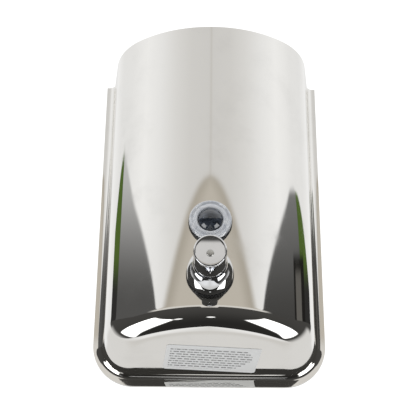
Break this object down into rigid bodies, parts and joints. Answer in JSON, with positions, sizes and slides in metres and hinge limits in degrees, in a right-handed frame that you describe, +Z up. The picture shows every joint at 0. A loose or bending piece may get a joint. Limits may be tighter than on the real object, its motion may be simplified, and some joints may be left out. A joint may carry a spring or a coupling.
{
  "type": "wall mounted soap dispenser",
  "caption": "Pressed stainless wall soap dispenser with a hinged lockable filling lid, a domed level window, a push pump and a hang-on wall bracket.",
  "frame": {"origin": "centre of the wall bracket's four screw holes, on the wall plane, at half the tank's height", "axes": "+Z up, -Y out of the wall towards the user, +X to the right as seen from the front; the wall is the plane Y = 0"},
  "size_m": [0.12, 0.091, 0.1828],
  "materials": {
    "polished_steel": "mirror polished stainless",
    "satin_steel": "mill finish stainless",
    "weld": "resistance weld, heat marked",
    "chrome_plate": "bright chrome plate",
    "clear_plastic": "clear moulded acrylic",
    "black_rubber": "smooth black rubber",
    "grey_rubber": "smooth grey rubber",
    "white_plastic": "natural white moulded plastic",
    "ball_steel": "ground steel ball",
    "spring_steel": "drawn stainless wire",
    "sticker": "white film sticker with plain grey bars"
  },
  "bodies": {
    "bracket": {"wall_bracket": "satin_steel"},
    "tank": {"back_plate": "satin_steel", "hanger_tabs": "satin_steel", "front_shell": "polished_steel", "seam_weld": "weld", "top_deck": "polished_steel", "lock_keeper": "satin_steel", "label": "sticker", "hinge_base": "satin_steel", "hinge_pin": "satin_steel", "sight_lens": "clear_plastic", "sight_gasket": "black_rubber", "sight_washer": "black_rubber", "sight_nut": "satin_steel", "pump_housing": "chrome_plate", "pump_gasket": "black_rubber", "pump_washer": "black_rubber", "pump_nut": "satin_steel", "rod_seal": "black_rubber", "pump_cylinder": "white_plastic", "cylinder_cap": "white_plastic", "suction_elbow": "white_plastic", "return_spring": "spring_steel"},
    "lid": {"lid": "polished_steel", "lid_gasket": "grey_rubber", "hinge_leaf": "satin_steel", "leaf_rivets": "satin_steel", "lock_barrel": "chrome_plate", "lock_nut": "satin_steel"},
    "lock": {"lock_plug": "chrome_plate", "lock_cam": "satin_steel", "cam_screw": "satin_steel"},
    "plunger": {"push_button": "chrome_plate", "plunger_rod": "white_plastic", "piston": "white_plastic", "piston_seal": "black_rubber", "outlet_spring": "spring_steel"},
    "inlet_valve": {"inlet_ball": "ball_steel"},
    "outlet_valve": {"outlet_ball": "ball_steel"}
  },
  "joints": [
    {"name": "lift_off", "type": "slide", "parent": "bracket", "child": "tank", "axis": [0, 0, 1], "range_m": [0, 0.012]},
    {"name": "lid_hinge", "type": "hinge", "parent": "tank", "child": "lid", "pos_m": [0, -0.0065, 0.0904], "axis": [-1, 0, 0], "range_deg": [0, 95]},
    {"name": "lock_turn", "type": "hinge", "parent": "lid", "child": "lock", "pos_m": [0, -0.04, 0.08], "axis": [0, 0, -1], "range_deg": [0, 90]},
    {"name": "button_push", "type": "slide", "parent": "tank", "child": "plunger", "axis": [0, 1, 0], "range_m": [0, 0.01], "stiffness_N_per_m": 400, "springref_m": -0.004, "deforming": ["return_spring"]},
    {"name": "inlet_lift", "type": "slide", "parent": "tank", "child": "inlet_valve", "axis": [0, 0, 1], "range_m": [0, 0.0015]},
    {"name": "outlet_lift", "type": "slide", "parent": "plunger", "child": "outlet_valve", "axis": [0, -1, 0], "range_m": [0, 0.0008], "stiffness_N_per_m": 60, "springref_m": -0.001, "deforming": ["outlet_spring"]}
  ]
}
